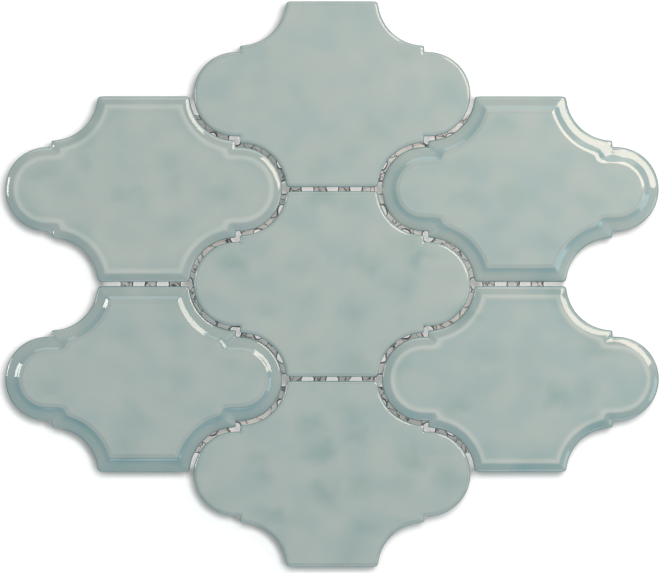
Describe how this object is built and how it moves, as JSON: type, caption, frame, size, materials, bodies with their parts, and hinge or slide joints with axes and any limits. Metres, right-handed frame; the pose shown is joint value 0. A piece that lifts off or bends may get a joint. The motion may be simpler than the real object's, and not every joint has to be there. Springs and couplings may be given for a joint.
{
  "type": "arabesque mosaic tile sheet",
  "caption": "Mesh-backed sheet of lantern-shaped glazed ceramic tiles, some flat, some rimmed and some with a raised face, for walls and backsplashes.",
  "frame": {"origin": "middle of the sheet, on the underside of the net", "axes": "+X along the tiles' length, to the picture's right; +Y up the columns, to the picture's top; +Z out of the glazed face"},
  "size_m": [0.281, 0.243, 0.007],
  "materials": {
    "glaze": "glossy grey-green glaze, softly mottled",
    "net": "pale open glass-fibre net"
  },
  "bodies": {
    "root": {"flat_tile_top": "glaze", "flat_tile_middle": "glaze", "flat_tile_bottom": "glaze", "rimmed_tile_upper_left": "glaze", "rimmed_tile_lower_right": "glaze", "raised_tile_upper_right": "glaze", "raised_tile_lower_left": "glaze", "mesh_backing": "net"}
  },
  "joints": []
}
